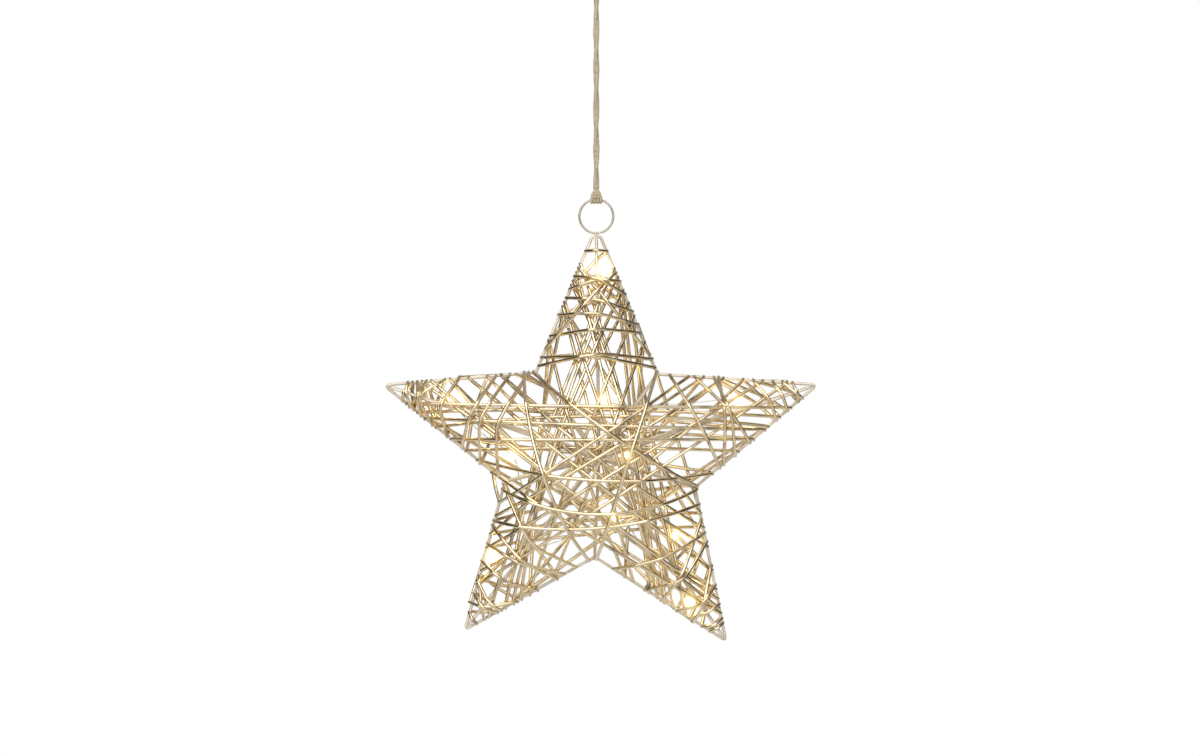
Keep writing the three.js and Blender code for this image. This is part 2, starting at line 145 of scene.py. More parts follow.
def build(name, tubes, material, slot, *replaced):
    """One object of closed tubes: four-cornered faces between neighbouring rings, and one face over
    each open end. Its UV map holds the share of the way round, and the metres along."""
    points, corners, starts, uvs, base = [], [], [], [], 0
    for rings, closed in tubes:
        count, sides = rings.shape[:2]
        i = np.arange(count if closed else count - 1)[:, None]
        j = np.arange(sides)[None]
        after, beside = (i + 1) % count, (j + 1) % sides
        quads = np.stack(
            [i * sides + j, i * sides + beside, after * sides + beside, after * sides + j], axis=-1
        )
        steps = np.linalg.norm(np.diff(rings.mean(axis=1), axis=0), axis=1)
        run = np.concatenate([[0], np.cumsum(steps), [steps.sum() + steps.mean()]])
        along = np.stack([run[i], run[i], run[i + 1], run[i + 1]], axis=-1)
        round_share = np.stack([j, j + 1, j + 1, j], axis=-1) / sides
        uv = np.stack(np.broadcast_arrays(round_share, along), axis=-1)
        corners.append(quads.reshape(-1) + base)
        starts.append(np.full(quads.size // 4, 4))
        uvs.append(uv.reshape(-1, 2))
        if not closed:
            end = (count - 1) * sides + np.arange(sides)
            corners += [np.arange(sides)[::-1] + base, end + base]
            starts.append(np.full(2, sides))
            uvs.append(np.zeros((2 * sides, 2)))
        points.append(rings.reshape(-1, 3))
        base += count * sides
    points, corners, totals = np.vstack(points), np.concatenate(corners), np.concatenate(starts)
    mesh = bpy.data.meshes.new(name)
    mesh.vertices.add(len(points))
    mesh.vertices.foreach_set("co", points.ravel())
    mesh.loops.add(len(corners))
    mesh.loops.foreach_set("vertex_index", corners.astype(np.int32))
    mesh.polygons.add(len(totals))
    firsts = np.concatenate([[0], np.cumsum(totals)[:-1]])
    mesh.polygons.foreach_set("loop_start", firsts.astype(np.int32))
    mesh.update(calc_edges=True)
    mesh.polygons.foreach_set("use_smooth", np.ones(len(totals), bool))
    mesh.uv_layers.new(name="UVMap").data.foreach_set("uv", np.vstack(uvs).ravel())
    mesh.materials.append(material)
    piece = bpy.data.objects.new(name, mesh)
    scene.collection.objects.link(piece)
    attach(piece, "root")
    if replaced:
        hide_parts(*replaced)
    return piece


class Value:
    """A value in a node tree. Sums and products of values add Math nodes, and node() any other."""

    def __init__(self, tree, socket=None):
        self.tree, self.socket = tree, socket

    def node(self, kind, settings=None, inputs=None, output=0):
        """Adds a node of a kind, with its settings, and its inputs by name or number."""
        made = self.tree.nodes.new(kind)
        for key, value in (settings or {}).items():
            setattr(made, key, value)
        for key, value in (inputs or {}).items():
            if isinstance(value, Value):
                self.tree.links.new(value.socket, made.inputs[key])
            else:
                made.inputs[key].default_value = value
        return Value(self.tree, made.outputs[output] if len(made.outputs) else None)

    def math(self, operation, *values):
        return self.node("ShaderNodeMath", {"operation": operation}, dict(enumerate(values)))

    def __add__(self, other):
        return self.math("ADD", self, other)

    def __sub__(self, other):
        return self.math("SUBTRACT", self, other)

    def __mul__(self, other):
        return self.math("MULTIPLY", self, other)

    def __rsub__(self, other):
        return self.math("SUBTRACT", other, self)

    __radd__ = __add__
    __rmul__ = __mul__

    def sine(self):
        return self.math("SINE", self)

    def ramp(self, low, high, to_low=0.0, to_high=1.0):
        """A smooth step from one number to another while the value goes from low to high."""
        inputs = {"Value": self, 1: low, 2: high, 3: to_low, 4: to_high}
        return self.node("ShaderNodeMapRange", {"interpolation_type": "SMOOTHSTEP"}, inputs)

    def blend(self, color_a, color_b):
        """The first colour where the value is 0, and the second where it is 1."""
        inputs = {"Factor": self}
        for key, color in ((6, color_a), (7, color_b)):
            inputs[key] = color if isinstance(color, Value) else (*color, 1)
        return self.node("ShaderNodeMix", {"data_type": "RGBA"}, inputs, 2)

    def noise(self, scale, detail=2.0, roughness=0.5):
        inputs = {"Vector": self, "Scale": scale, "Detail": detail, "Roughness": roughness}
        return self.node("ShaderNodeTexNoise", {}, inputs)


def material(name, **constants):
    """A new material, as a value that adds nodes, with constants set on its shader's sockets."""
    made = bpy.data.materials.new(name)
    made.use_nodes = True
    shader = made.node_tree.nodes["Principled BSDF"]
    for key, value in constants.items():
        socket = shader.inputs[key.replace("_", " ")]
        socket.default_value = (*value, 1) if isinstance(value, tuple) else value

    def feed(**inputs):
        for key, value in inputs.items():
            made.node_tree.links.new(value.socket, shader.inputs[key.replace("_", " ")])

    return made, Value(made.node_tree), feed


# Jute is spun from coarse fibres that lie at a slant round the yarn. It is straw to grey-brown,
# with painted shade in the grooves between the fibres, and no gloss.
jute, start, feed = material("jute", Roughness=0.9, Specular_IOR_Level=0.15)
uv = start.node("ShaderNodeUVMap", {"uv_map": "UVMap"})
share = start.node("ShaderNodeSeparateXYZ", {}, {0: uv})
along = start.node("ShaderNodeSeparateXYZ", {}, {0: uv}, 1)
slant = (share + along * 110.0) * (2 * math.pi)
fibre = start.node(
    "ShaderNodeCombineXYZ",
    {},
    {0: slant.sine(), 1: (slant + math.pi / 2).sine(), 2: along * 60.0},
).noise(4.2, 4.0, 0.65)
patch = start.node("ShaderNodeCombineXYZ", {}, {0: share, 1: along * 130.0}).noise(1.4, 2.0)
# Where the fibre pattern is low, in the grooves, the colour is dark brown: painted shade in the
# grooves.
tone = fibre.ramp(0.34, 0.6).blend((0.25, 0.19, 0.115), (0.7, 0.59, 0.43))
tone = (patch.ramp(0.35, 0.7) * 0.4).blend(tone, (0.58, 0.48, 0.34))
grooves = start.node(
    "ShaderNodeBump", {}, {"Strength": 0.9, "Distance": 0.0004, "Height": fibre}
)
feed(Base_Color=tone, Normal=grooves)


def yarn_radius(path, radius):
    """The radius of hand-spun yarn: even, give or take a smooth chance swelling of a tenth."""
    swell = chance.normal(0, 0.05, max(len(path) // 6, 3))
    along, known = np.linspace(0, 1, len(path)), np.linspace(0, 1, len(swell))
    return radius * (1 + np.interp(along, known, swell))


def fibre_ends(path, radius, count, reach=0.001):
    """Loose ends of fibre that stand off a yarn: each starts in its skin, leans along it, and bends
    out by its reach."""
    hairs = []
    forward = np.gradient(path, axis=0)
    forward /= np.linalg.norm(forward, axis=1, keepdims=True)
    for at in chance.integers(2, len(path) - 2, count):
        out = np.cross(forward[at], chance.normal(size=3))
        out /= np.linalg.norm(out)
        side = np.cross(forward[at], out)
        t = np.linspace(0, 1, 5)[:, None]
        length = reach * chance.uniform(0.5, 1.5)
        lean, swing = length * chance.uniform(1.0, 3.0), length * chance.uniform(-0.8, 0.8)
        hair = path[at] + out * (0.8 * radius + length * t**1.6)
        hair = hair + forward[at] * lean * t + side * swing * t**2
        hairs.append(tube(hair, 0.00006 * (1.1 - t[:, 0]), 3))
    return hairs


height = np.linspace(0, ROPE_LENGTH, 289)
rope_tubes = []
for phase in (0, math.pi):
    angle = phase + 2 * math.pi * height / ROPE_TURN
    yarn = np.stack(
        [YARN_OFFSET * np.cos(angle), YARN_OFFSET * np.sin(angle), ROPE_BOTTOM + height], axis=1
    )
    rope_tubes.append(tube(yarn, yarn_radius(yarn, YARN_RADIUS), 12))
    rope_tubes += fibre_ends(yarn, YARN_RADIUS, 130)
rope = build("jute_rope", rope_tubes, jute, "jute", "rope")

# Hitch: the doubled twine lies round the ring in four turns side by side, and its bight is drawn
# tight across them in front, under the foot of the rope. Points are in mm from the ring's top.
TWINE_RADIUS = 0.00108
hitch_tubes = []
for across_ring, at_top in ((-3.1, -1.0), (-1.05, -0.4), (1.05, 0.4), (3.1, 1.0)):
    turn_points = np.array([
        [at_top * 0.7, 0.1, 8.0], [at_top, -0.6, 6.0], [across_ring * 0.74, -1.9, 3.4],
        [across_ring, -2.2, 0.4], [across_ring, -1.2, -1.9], [across_ring, 1.2, -1.9],
        [across_ring, 2.2, 0.4], [across_ring * 0.74, 1.7, 3.4], [at_top, 0.6, 6.0],
    ])
    turn_path = through(turn_points * 0.001 + (0, 0, RING_TOP), 0.0005)
    hitch_tubes.append(tube(turn_path, yarn_radius(turn_path, TWINE_RADIUS), 12))
    hitch_tubes += fibre_ends(turn_path, TWINE_RADIUS, 16)
for lift, narrow in ((1.5, 1.0), (3.2, 0.8)):
    bight_points = np.array([
        [-2.0, 1.4, 0.8], [-2.9, -0.4, 0.5], [-2.1, -2.6, 0.1], [0, -3.3, -0.2],
        [2.1, -2.6, 0.1], [2.9, -0.4, 0.5], [2.0, 1.4, 0.8],
    ]) * (narrow, narrow, 1) + (0, 0, lift)
    bight_path = through(bight_points * 0.001 + (0, 0, RING_TOP), 0.0005)
    hitch_tubes.append(tube(bight_path, yarn_radius(bight_path, TWINE_RADIUS * 0.95), 12))
    hitch_tubes += fibre_ends(bight_path, TWINE_RADIUS, 16)
hitch = build("jute_hitch", hitch_tubes, jute, "jute", "rope_hitch")

# Knot: an overhand knot in the doubled twine, above the view, and over it the loop for a hook.
KNOT_HEIGHT = RING_TOP + 0.1563
KNOT_REACH = 0.00285
t = np.linspace(0, 2 * math.pi, 120, endpoint=False)
knot_path = np.stack(
    [
        KNOT_REACH * (np.sin(t) + 2 * np.sin(2 * t)) / 2.9,
        0.0016 * np.sin(3 * t),
        KNOT_HEIGHT + KNOT_REACH * (np.cos(t) - 2 * np.cos(2 * t)) / 2.9,
    ],
    axis=1,
)
knot_tubes = [tube(knot_path, 0.00142, 12, closed=True)]
knot_tubes += fibre_ends(knot_path, 0.00142, 50)
knot = build("jute_knot", knot_tubes, jute, "jute", "rope_knot")

LOOP_FOOT = RING_TOP + 0.16101
loop_shape = np.array([
    [-0.1, -0.06], [-0.3, 0.25], [-0.48, 0.55], [-0.42, 0.82], [0, 1],
    [0.42, 0.82], [0.48, 0.55], [0.3, 0.25], [0.1, -0.06],
])
loop_points = np.stack(
    [loop_shape[:, 0] * 0.013, 0 * loop_shape[:, 0], LOOP_FOOT + loop_shape[:, 1] * 0.027], axis=1
)
loop_path = through(loop_points, 0.0005)
loop_tubes = [tube(loop_path, yarn_radius(loop_path, TWINE_RADIUS * 1.05), 12)]
loop_tubes += fibre_ends(loop_path, TWINE_RADIUS, 60)
loop = build("jute_loop", loop_tubes, jute, "jute", "rope_loop")

# The frame's wires have a matt, slightly pearly beige paint, a little thinner and browner in
# places.
painted, start, feed = material("beige_paint", Metallic=0.35, Coat_Weight=0.15, Coat_Roughness=0.3)
place = start.node("ShaderNodeTexCoord", {}, {}, 3)
cloud = place.noise(55.0, 3.0, 0.6)
grain = place.noise(1400.0, 2.0)
tone = cloud.ramp(0.35, 0.65).blend((0.66, 0.57, 0.45), (0.84, 0.76, 0.64))
skin = start.node("ShaderNodeBump", {}, {"Strength": 0.12, "Distance": 0.0001, "Height": grain})
feed(Base_Color=tone, Roughness=grain.ramp(0.3, 0.7, 0.36, 0.52), Normal=skin)

# Split ring of thin wire, 25 mm across, standing in the top tip. Its two cut ends meet at the
# bottom right. Its coat is thin and a little greyer than the frame's.
RING_RADIUS = 0.0119
RING_WIRE_RADIUS = 0.0008
ring_middle = RING_TOP - RING_RADIUS
angle = math.radians(-78) + np.linspace(0.014, 2 * math.pi - 0.014, 160)
ring_path = np.stack(
    [RING_RADIUS * np.cos(angle), 0 * angle, ring_middle + RING_RADIUS * np.sin(angle)], axis=1
)
ring_tube = tube(ring_path, round_ends(ring_path, RING_WIRE_RADIUS), 14)
ring_paint, start, feed = material("ring_paint", Metallic=0.5, Specular_IOR_Level=0.4)
place = start.node("ShaderNodeTexCoord", {}, {}, 3)
cloud = place.noise(160.0, 2.0)
feed(
    Base_Color=cloud.ramp(0.35, 0.65).blend((0.44, 0.39, 0.31), (0.6, 0.54, 0.44)),
    Roughness=cloud.ramp(0.3, 0.7, 0.3, 0.42),
)
build("split_ring", [ring_tube], ring_paint, "ring_wire", "hanging_ring")

# Frame: the outline is one wire bent round the five tips and five inner corners, with a weld at each
# inner corner. Ten ribs in front and ten behind run from the bends to a weld over the centre. The
# two top ribs hold the ring between them.
STAR_REACH = 0.157
CORNER_REACH = 0.071
APEX_DEPTH = 0.040
FRAME_RADIUS = 0.0011
RIB_FOOT_DEPTH = 0.0025
TIP_OFFSET = np.array([-0.002, 0.0024, -0.0012, -0.0047, 0.0001])  # bent by hand, outwards
TIP_TURN = np.array([0.7, 0.3, -1.4, -1.8, -0.5])  # and to the side, in degrees
CORNER_OFFSET = np.array([0.0001, -0.0004, -0.0008, -0.0028, 0.0031])
CORNER_TURN = np.array([0.9, 0.4, -2.5, -3.4, 0.7])
TIP_WIDTH = np.array([0.0056, 0.0018, 0.001, 0.001, 0.0018])  # of the bend across each tip
APEX_WELD = 0.0022


def polar(reach, degrees):
    """Flat points, across and up, at a reach from the star's centre: reach (cos a, sin a)."""
    angle = np.radians(degrees)
    return (reach * np.stack([np.cos(angle), np.sin(angle)])).T


def placed(flat, depth):
    """Points of the star, across, up and towards the front, in the object's own frame."""
    flat = np.asarray(flat, float)
    depth = np.broadcast_to(depth, flat.shape[:-1])
    return np.stack([flat[..., 0] + STAR_ACROSS, -depth, flat[..., 1] + STAR_HEIGHT], axis=-1)


def blob(centre, radii, sides=12):
    """A drop of weld metal: rings of a ball, pulled to three radii and a little uneven."""
    t = np.linspace(0.12, math.pi - 0.12, 9)
    a = np.linspace(0, 2 * math.pi, sides, endpoint=False)
    swell = 1 + chance.normal(0, 0.04, (len(t), sides))
    x = np.sin(t)[:, None] * np.cos(a) * swell
    y = np.sin(t)[:, None] * np.sin(a) * swell
    z = -np.cos(t)[:, None] * np.ones(sides)
    return np.asarray(centre) + np.stack([x, y, z], axis=-1) * np.asarray(radii), False


arms = np.arange(5)
tips = polar(STAR_REACH + TIP_OFFSET, 90 - 72 * arms + TIP_TURN)
corners = polar(CORNER_REACH + CORNER_OFFSET, 90 - 72 * (arms + 0.5) + CORNER_TURN)
tip_half = tips @ np.array([[0, -1], [1, 0]]) / np.linalg.norm(tips, axis=1, keepdims=True)
tip_half *= TIP_WIDTH[:, None] / 2
bends = np.stack([tips - tip_half, tips + tip_half, corners], axis=1).reshape(15, 2)
outline = evenly(np.vstack([bends, bends[:1]]) @ np.eye(2, 3), 0.0012)[:-1, :2]
for _ in range(2):
    outline = (np.roll(outline, 1, axis=0) + 2 * outline + np.roll(outline, -1, axis=0)) / 4
outline_tubes = [tube(placed(outline, 0), FRAME_RADIUS, 12, closed=True)]
outline_tubes += [blob(placed(corner, 0), (0.0014, 0.0013, 0.0014)) for corner in corners]
build("outline_wire", outline_tubes, painted, "frame_wire", "frame_outline")

ring_seat = FRAME_RADIUS + 0.0003 + RING_WIRE_RADIUS
top_foot = tips[0] * (1 + (ring_seat + FRAME_RADIUS) / np.linalg.norm(tips[0]))
rib_feet = np.vstack([top_foot, tips[1:], corners])
for name, side in (("front", 1), ("back", -1)):
    rib_tubes = [blob(placed((0, 0), side * APEX_DEPTH), (0.0024, 0.0017, 0.0024), 16)]
    for foot in rib_feet:
        share = np.linspace(0, 1, 30)[:, None]
        sag = 0.0006 * chance.normal() * np.sin(math.pi * share[:, 0])
        line = placed(foot * (1 - share), side * (RIB_FOOT_DEPTH * (1 - share[:, 0])
                      + APEX_DEPTH * share[:, 0] + sag))
        rib_tubes.append(tube(line, round_ends(line, FRAME_RADIUS), 12))
    build(f"{name}_rib_wires", rib_tubes, painted, "frame_wire", f"frame_{name}_ribs")

# Windings: bright champagne-gold wire, drawn tight from one edge of the outline to another over
# whatever lies there already, round the outline, and back behind. The colour is in a clear lacquer
# over drawn wire: glossy, with fine lengthwise lines, partly drawn marks and partly painted dark
# reflections, and a few stretches painted dark brown as painted shade.
gold, start, feed = material("champagne_wire", Metallic=1.0, Coat_Weight=0.1, Coat_Roughness=0.1)
place = start.node("ShaderNodeTexCoord", {}, {}, 3)
uv = start.node("ShaderNodeUVMap", {"uv_map": "UVMap"})
share = start.node("ShaderNodeSeparateXYZ", {}, {0: uv})
along = start.node("ShaderNodeSeparateXYZ", {}, {0: uv}, 1)
turn = share * (2 * math.pi)
lines = start.node(
    "ShaderNodeCombineXYZ",
    {},
    {0: turn.sine(), 1: (turn + math.pi / 2).sine(), 2: along * 14.0},
).noise(5.0, 3.0, 0.6)
cloud = place.noise(38.0, 2.0, 0.55)
tone = cloud.ramp(0.34, 0.66).blend((0.79, 0.64, 0.41), (0.93, 0.8, 0.56))
# Along the fine lengthwise lines the colour is blended towards dark brown: partly drawn-wire marks,
# partly painted dark reflection lines along the wire.
tone = (lines.ramp(0.58, 0.8) * 0.45).blend(tone, (0.36, 0.28, 0.17))
# Random stretches painted dark brown: painted shade, standing in for the shadows where wires cross,
# placed at random.
painted_shade_stretches = place.noise(75.0, 1.0).ramp(0.54, 0.7) * 0.75
tone = painted_shade_stretches.blend(tone, (0.36, 0.29, 0.2))
drawn = start.node("ShaderNodeBump", {}, {"Strength": 0.25, "Distance": 0.00012, "Height": lines})
feed(Base_Color=tone, Roughness=cloud.ramp(0.3, 0.7, 0.06, 0.16), Normal=drawn)

WIRE_RADIUS = 0.0012
WIRE_GAP = 0.00004
PINCHED = 0.42  # of its radius where the soft wire is bent round the outline
WRAP_REACH = FRAME_RADIUS + PINCHED * WIRE_RADIUS
PLACES = 32  # on each edge, from its tip to its corner, where a wire can go round it
STRAND_STEP = 0.0011
edge_tips = np.stack([tips - tip_half, tips + tip_half], axis=1).reshape(10, 2)
edge_corners = corners[[4, 0, 0, 1, 1, 2, 2, 3, 3, 4]]
edge_outward = (edge_corners - edge_tips) @ np.array([[0, 1], [-1, 0]])
edge_outward /= np.linalg.norm(edge_outward, axis=1, keepdims=True)
edge_outward *= np.sign((edge_outward * (edge_tips + edge_corners)).sum(1))[:, None]
taken = [set() for _ in range(10)]

# What lies on each side already, as rows: flat start, flat end, depth at the two, and radius.
# At first that is the frame: its ribs, its outline and the weld over the centre.
frame_rods = [[*foot, 0, 0, RIB_FOOT_DEPTH, APEX_DEPTH, FRAME_RADIUS] for foot in rib_feet]
frame_rods += [[*a, *b, 0, 0, FRAME_RADIUS] for a, b in zip(edge_tips, edge_corners)]
frame_rods.append([0, 0, 0, 0, APEX_DEPTH, APEX_DEPTH, APEX_WELD])
laid = {1: [np.array(frame_rods)], -1: [np.array(frame_rods)]}


def depth_needed(points, rods):
    """How far out the middle of a wire must lie at flat points to rest on the rods there: a rod's
    depth at its nearest point, plus the square root of (both radii together)^2 - distance^2."""
    low, high = points.min(axis=0) - 0.004, points.max(axis=0) + 0.004
    near = (np.maximum(rods[:, :2], rods[:, 2:4]) > low).all(axis=1)
    near &= (np.minimum(rods[:, :2], rods[:, 2:4]) < high).all(axis=1)
    rods = rods[near]
    if not len(rods):
        return np.full(len(points), -1.0)
    start, way = rods[:, :2], rods[:, 2:4] - rods[:, :2]
    square = np.maximum((way**2).sum(1), 1e-12)
    t = np.clip(((points[:, None] - start) * way).sum(-1) / square, 0, 1)
    away = np.linalg.norm(points[:, None] - start - t[..., None] * way, axis=-1)
    clear = rods[:, 6] + WIRE_RADIUS + WIRE_GAP
    rise = np.sqrt(np.maximum(clear**2 - away**2, 0))
    depth = rods[:, 4] + t * (rods[:, 5] - rods[:, 4]) + rise
    return np.where(away < clear, depth, -1.0).max(axis=1)


def tight_over(run, need):
    """A line drawn tight over needed depths: their upper hull."""
    hull = []
    for p in zip(run, need):
        while len(hull) > 1:
            (ax, ay), (bx, by) = hull[-2:]
            if (bx - ax) * (p[1] - ay) - (by - ay) * (p[0] - ax) < 0:
                break
            hull.pop()
        hull.append(p)
    return np.interp(run, *np.array(hull).T)


def take_place(edge, wanted):
    """The free place nearest to the wanted one, from now on taken."""
    free = [place for place in range(PLACES) if place not in taken[edge]]
    place = min(free, key=lambda p: (abs(p - wanted), p))
    taken[edge].add(place)
    share = (place + 0.5) / PLACES
    return edge, edge_tips[edge] * (1 - share) + edge_corners[edge] * share


def turn_at(end):
    """Where a wire goes round an edge: on its wire, and how far outside it."""
    edge, at = end
    return edge, at, at + edge_outward[edge] * WRAP_REACH


def pushed_aside(start, end, pushed, t):
    """How far a strand lies off its straight way, out from the star's centre. A turn round an arm
    is a tent with its corner at the arm's rib, rounded by 1 - (root((1 - u)^2 + 0.03) - root 0.03) /
    (root 1.03 - root 0.03), and a long strand is the arch 4 t (1 - t)."""
    (edge_a, at_a), (edge_b, at_b) = start[:2], end[:2]
    if edge_a // 2 != edge_b // 2:
        return pushed * 4 * t * (1 - t)
    rib = tips[edge_a // 2]
    before, after = (rib[0] * at[1] - rib[1] * at[0] for at in (at_a, at_b))
    crossing = before / (before - after)
    u = np.where(t < crossing, t / crossing, (1 - t) / (1 - crossing))
    low = math.sqrt(0.03)
    return pushed * (1 - (np.sqrt((1 - u) ** 2 + 0.03) - low) / (math.sqrt(1.03) - low))


def lay_strand(start, end, pushed, side):
    """The points of one strand on one side, from its turn at one edge to its turn at another."""
    (_, at_a, outer_a), (_, at_b, outer_b) = start, end
    span = np.linalg.norm(at_b - at_a)
    length = span + 2 * WRAP_REACH
    run = np.linspace(0, length, max(round(length / STRAND_STEP), 8))
    t = np.clip((run - WRAP_REACH) / span, 0, 1)
    aside = np.array([at_b[1] - at_a[1], at_a[0] - at_b[0]]) / span
    aside *= math.copysign(1, aside @ at_a)
    flat = at_a + np.outer(t, at_b - at_a) + np.outer(pushed_aside(start, end, pushed, t), aside)
    into = np.clip(run / WRAP_REACH, 0, 1)[:, None]
    out = np.clip((run - WRAP_REACH - span) / WRAP_REACH, 0, 1)[:, None]
    flat = flat + (outer_a - at_a) * (1 - into) + (outer_b - at_b) * out
    need = np.maximum(depth_needed(flat, np.vstack(laid[side])), 0)
    need[[0, -1]] = 0
    depth = tight_over(run, need)
    i = np.unique(np.append(np.arange(0, len(run), 3), len(run) - 1))
    rods = np.column_stack([flat[i[:-1]], flat[i[1:]], depth[i[:-1]], depth[i[1:]]])
    laid[side].append(np.column_stack([rods, np.full(len(rods), WIRE_RADIUS)]))
    return placed(flat, side * depth)


def stays_inside(p, q):
    """Whether the straight way between two points of the outline stays on the star."""
    way = q - p
    t = np.clip(((corners - p) @ way) / (way @ way), 0, 1)[:, None]
    nearest = p + t * way
    reach, limit = np.linalg.norm(nearest, axis=1), np.linalg.norm(corners, axis=1)
    angle = np.arccos(np.clip((nearest * corners).sum(1) / np.maximum(reach * limit, 1e-9), -1, 1))
    return bool(((reach < limit) | (angle > 0.3)).all())


def order(rows):
    """Rows in the order, and the direction, in which one wire can cover them in front, while behind
    it goes from the end of each to the start of the next on the star."""
    rest = [
        (take_place(a, i), take_place(b, j), millimetres * 0.001)
        for a, i, b, j, millimetres in rows
    ]
    ordered = [rest.pop(0)]
    while rest:
        end = ordered[-1][1][1]
        ahead = [k for k, row in enumerate(rest) if stays_inside(end, row[0][1])]
        turned = [k for k, row in enumerate(rest) if stays_inside(end, row[1][1])]
        if ahead:
            ordered.append(rest.pop(ahead[0]))
        else:
            start, finish, pushed = rest.pop(turned[0] if turned else 0)
            ordered.append((finish, start, pushed))
    return ordered


def wind(name, rows, *replaced):
    """One length of wire, as one piece: its strands in front, and between them those behind."""
    turn = turn_at(rows[0][0])
    strands = []
    for k, (_, finish, pushed) in enumerate(rows):
        end = turn_at(finish)
        loose = 0.0004 * chance.normal()
        strands.append(lay_strand(turn, end, pushed + loose, 1)[:-1])
        turn = end
        if k + 1 < len(rows):
            end = turn_at(rows[k + 1][0])
            loose = 0.0006 * chance.normal()
            if turn[0] // 2 == end[0] // 2:
                loose += 0.05 * np.linalg.norm(end[1] - turn[1])
            strands.append(lay_strand(turn, end, loose, -1)[:-1])
            turn = end
    turns = np.array([strand[0] for strand in strands])
    path = evenly(np.vstack(strands), STRAND_STEP)
    for _ in range(2):
        path[1:-1] = (path[:-2] + 2 * path[1:-1] + path[2:]) / 4
    near = np.linalg.norm(path[:, None] - turns, axis=2).min(axis=1)
    pinch = 1 - (1 - PINCHED) * np.exp(-((near / 0.002) ** 2))
    wire = tube(path, round_ends(path, WIRE_RADIUS) * pinch, 8)
    return build(name, [wire], gold, "winding_wire", *replaced)


# Turns round each arm as they show from the front, from the top arm clockwise: the place on the
# edge before the tip, the place on the edge after it, and how far the turn slides out on the rib,
# in mm. A second wire fills in between them.
ARM_TURNS = [
    [(3, 3, 0.5), (12, 10, 3), (9, 13, 3), (18, 20, 3.5), (28, 30, 4), (30, 28, 5)],
    [(4, 4, 0.5), (6, 3, 0.5), (12, 10, 2), (20, 21, 4), (29, 25, 1.5)],
    [(3, 3, 0.5), (5, 5, 2), (11, 11, 4.5), (20, 19, 8), (22, 27, 3)],
    [(2, 3, 0.5), (7, 7, 1.5), (9, 10, 2), (17, 14, 3), (22, 22, 4.5), (27, 31, 10)],
    [(5, 5, 2), (7, 4, 2.5), (9, 9, 3.5), (16, 15, 7.5), (25, 26, 8.5), (30, 30, 10)],
]
MORE_ARM_TURNS = [
    [(14, 17, 2), (24, 22, 3), (7, 27, 1), (26, 9, 1)],
    [(8, 7, 1), (20, 25, 2), (25, 17, 2)],
    [(8, 8, 1), (15, 8, 2), (26, 16, 3)],
    [(5, 12, 1), (13, 5, 2), (24, 18, 3)],
    [(6, 12, 2), (13, 6, 2), (20, 23, 3)],
]
# Long strands over the body: the edge and place where each starts, the edge and place where it
# ends, and how far its middle is pushed out from the centre, in mm. The wires that go on first lie
# deepest in the star.
LONG_STRANDS = [
    [
        (0, 8, 5, 16, 0), (1, 12, 6, 9, 6), (0, 15, 5, 14, 0), (1, 18, 6, 15, 2),
        (0, 24, 5, 24, 4), (1, 24, 6, 21, 0),
    ],
    [
        (9, 9, 4, 8, 0), (2, 5, 7, 9, 0), (9, 17, 4, 14, 0), (2, 10, 7, 17, 0),
        (9, 24, 4, 23, -4), (2, 18, 7, 24, 0),
    ],
    [
        (3, 6, 8, 5, 0), (3, 13, 8, 10, 0), (3, 16, 8, 17, 0), (3, 27, 8, 24, 7),
        (8, 28, 4, 5, 0), (2, 25, 7, 27, 0),
    ],
]
MORE_LONG_STRANDS = [
    [(0, 6, 5, 12, 3), (3, 9, 8, 8, 4), (9, 13, 4, 11, 10), (2, 14, 7, 12, 6)],
    [(1, 7, 6, 5, 4), (3, 20, 8, 21, 3), (9, 21, 4, 20, 5), (0, 16, 5, 22, 0)],
    [(0, 12, 5, 9, 7), (2, 22, 7, 20, 5), (1, 15, 6, 11, 8), (9, 27, 4, 26, 12)],
    [(0, 10, 5, 19, 12), (1, 10, 6, 13, 9), (3, 12, 8, 13, 8), (9, 7, 4, 5, -3)],
]
OUTER_STRANDS = [
    (9, 31, 3, 31, -4), (1, 31, 5, 31, 0), (9, 29, 6, 30, 9), (7, 31, 4, 31, 15),
    (7, 23, 4, 28, 9),
]
ARM_NAMES = ["top", "right", "lower_right", "lower_left", "left"]


def arm_rows(turns, k):
    """Turns round one arm as rows of edges and places."""
    return [(2 * k, before, 2 * k + 1, after, pushed) for before, after, pushed in turns]


body_rows = [order(rows) for rows in LONG_STRANDS]
arm_wires = [order(arm_rows(turns, k)) for k, turns in enumerate(ARM_TURNS)]
outer_rows = order(OUTER_STRANDS)
inner_rows = [order(rows) for rows in MORE_LONG_STRANDS]
more_arm_wires = [order(arm_rows(turns, k)) for k, turns in enumerate(MORE_ARM_TURNS)]
for k, rows in enumerate(inner_rows):
    wind(f"inner_wire_{k + 1}", rows)
for k, rows in enumerate(body_rows):
    wind(f"body_wire_{k + 1}", rows, f"body_winding_{k + 1}")
for k, name in enumerate(ARM_NAMES):
    wind(f"{name}_arm_second_wire", more_arm_wires[k])
    wind(f"{name}_arm_wire", arm_wires[k], f"{name}_arm_winding")
wind("outer_wire", outer_rows, "outer_body_winding")

